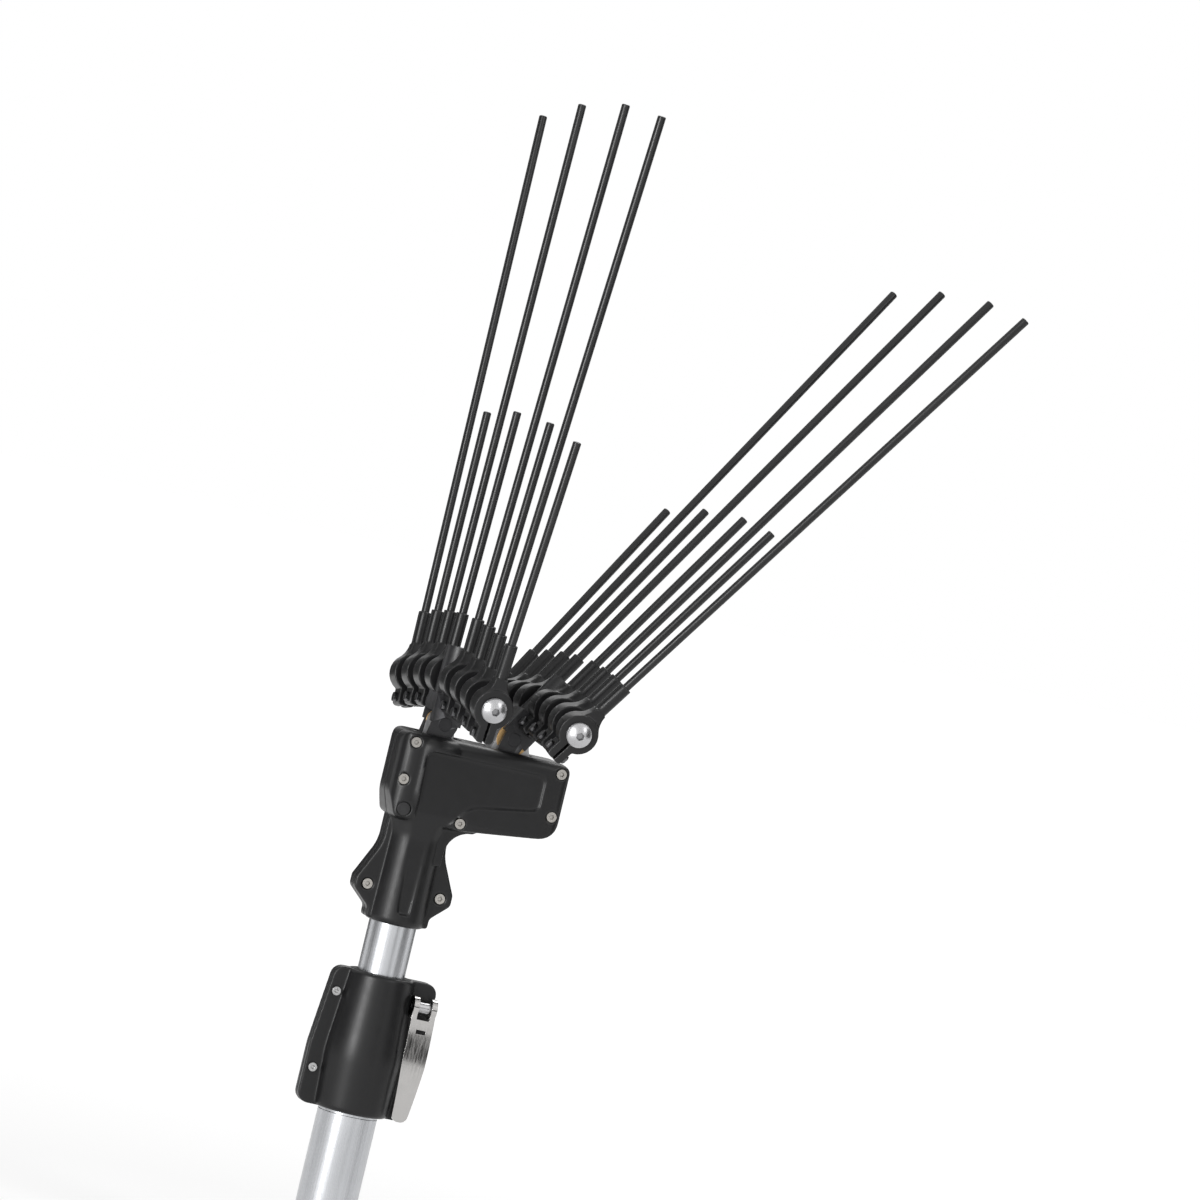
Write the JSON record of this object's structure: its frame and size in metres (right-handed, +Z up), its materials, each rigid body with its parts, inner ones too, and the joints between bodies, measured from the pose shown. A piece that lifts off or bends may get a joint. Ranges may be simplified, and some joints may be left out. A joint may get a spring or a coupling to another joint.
{
  "type": "electric olive harvester head",
  "caption": "Olive harvester head on a telescopic pole: long-tined combs rock side to side on a pistol-shaped gear housing, with a cam-lever collar below.",
  "frame": {"origin": "centre of the lower tube's open end", "axes": "+Z up along the pole, +X along the housing's barrel towards the right comb, -Y towards the viewer"},
  "size_m": [0.3481, 0.37, 0.8713],
  "materials": {
    "tube_metal": "drawn and clear anodised, fine lengthwise lines",
    "collar_plastic": "moulded, fine grain",
    "grip_rubber": "matt, slightly soft",
    "dark_steel": "blackened steel, worn on the edges",
    "bright_steel": "zinc plated",
    "polished_steel": "polished stainless sheet",
    "guide_plastic": "turned nylon",
    "housing_plastic": "moulded glass-filled nylon, satin grain",
    "cast_alloy": "die cast, shot blasted",
    "bronze": "sintered bronze, oily",
    "motor_steel": "plain drawn steel",
    "gear_steel": "machined and greased",
    "post_paint": "black powder coat",
    "holder_plastic": "moulded nylon, fine grain",
    "carbon": "pultruded carbon fibre rod, satin with lengthwise streaks"
  },
  "bodies": {
    "pole_base": {"lower_tube": "tube_metal", "collar_front_half": "collar_plastic", "collar_rear_half": "collar_plastic", "clamp_sleeve": "grip_rubber", "collar_screws": "dark_steel", "collar_nuts": "dark_steel", "clamp_bolt": "bright_steel", "lever_pin": "bright_steel"},
    "cam_lever": {"clamp_lever": "polished_steel"},
    "head": {"upper_tube": "tube_metal", "guide_bush": "guide_plastic", "housing_front": "housing_plastic", "housing_rear": "housing_plastic", "housing_screws": "dark_steel", "side_plug": "grip_rubber", "pivot_frame": "cast_alloy", "pivot_bushes": "bronze", "motor_can": "motor_steel", "gear_ring": "gear_steel", "crank_bearing": "bright_steel"},
    "left_comb": {"left_post": "post_paint", "left_pivot_pin": "bright_steel", "left_link_pin": "bright_steel", "left_comb_bar": "post_paint", "left_end_bolts": "dark_steel", "left_pinch_bolts": "bright_steel", "left_long_tines": "carbon", "left_short_tines": "carbon", "left_holder_1": "holder_plastic", "left_holder_2": "holder_plastic", "left_holder_3": "holder_plastic", "left_holder_4": "holder_plastic", "left_holder_5": "holder_plastic", "left_holder_6": "holder_plastic", "left_holder_7": "holder_plastic", "left_holder_8": "holder_plastic"},
    "right_comb": {"right_post": "post_paint", "right_pivot_pin": "bright_steel", "right_link_pin": "bright_steel", "right_comb_bar": "post_paint", "right_end_bolts": "dark_steel", "right_pinch_bolts": "bright_steel", "right_long_tines": "carbon", "right_short_tines": "carbon", "right_holder_1": "holder_plastic", "right_holder_2": "holder_plastic", "right_holder_3": "holder_plastic", "right_holder_4": "holder_plastic", "right_holder_5": "holder_plastic", "right_holder_6": "holder_plastic", "right_holder_7": "holder_plastic", "right_holder_8": "holder_plastic"},
    "drive_link": {"drive_link": "gear_steel"},
    "crank": {"crank_carrier": "gear_steel", "crank_roller": "bright_steel"},
    "rotor": {"motor_rotor": "motor_steel", "sun_gear": "gear_steel"},
    "planet_1": {"planet_gear_1": "gear_steel"},
    "planet_2": {"planet_gear_2": "gear_steel"},
    "planet_3": {"planet_gear_3": "gear_steel"}
  },
  "joints": [
    {"name": "lever_open", "type": "hinge", "parent": "pole_base", "child": "cam_lever", "pos_m": [0.033, -0.01374, 0.206], "axis": [-1, 0, 0], "range_deg": [0, 115]},
    {"name": "pole_slide", "type": "slide", "parent": "pole_base", "child": "head", "axis": [0, 0, 1], "range_m": [-0.034, 0.1]},
    {"name": "left_swing", "type": "hinge", "parent": "head", "child": "left_comb", "pos_m": [0, 0, 0.409], "axis": [0, 1, 0], "range_deg": [-36, 0]},
    {"name": "right_swing", "type": "hinge", "parent": "head", "child": "right_comb", "pos_m": [0.053, 0, 0.409], "axis": [0, 1, 0], "range_deg": [-36, 0]},
    {"name": "link_turn", "type": "hinge", "parent": "left_comb", "child": "drive_link", "pos_m": [-0.00803, 0, 0.38427], "axis": [0, 1, 0], "range_deg": [0, 36]},
    {"name": "crank_turn", "type": "hinge", "parent": "head", "child": "crank", "pos_m": [0, 0, 0.36], "axis": [0, 0, 1], "range_deg": [-180, 0]},
    {"name": "rotor_turn", "type": "hinge", "parent": "head", "child": "rotor", "pos_m": [0, 0, 0.32], "axis": [0, 0, 1], "range_deg": [-720, 0]},
    {"name": "planet_1_turn", "type": "hinge", "parent": "crank", "child": "planet_1", "pos_m": [0.0096, 0, 0.34], "axis": [0, 0, 1], "range_deg": [0, 540]},
    {"name": "planet_2_turn", "type": "hinge", "parent": "crank", "child": "planet_2", "pos_m": [-0.0048, 0.00831, 0.34], "axis": [0, 0, 1], "range_deg": [0, 540]},
    {"name": "planet_3_turn", "type": "hinge", "parent": "crank", "child": "planet_3", "pos_m": [-0.0048, -0.00831, 0.34], "axis": [0, 0, 1], "range_deg": [0, 540]}
  ],
  "couplings": [
    {"joint": "right_swing", "follows": "left_swing", "ratio": 1},
    {"joint": "link_turn", "follows": "left_swing", "ratio": -1},
    {"joint": "crank_turn", "follows": "left_swing", "ratio": 5},
    {"joint": "rotor_turn", "follows": "left_swing", "ratio": 20},
    {"joint": "planet_1_turn", "follows": "left_swing", "ratio": -15},
    {"joint": "planet_2_turn", "follows": "left_swing", "ratio": -15},
    {"joint": "planet_3_turn", "follows": "left_swing", "ratio": -15}
  ]
}
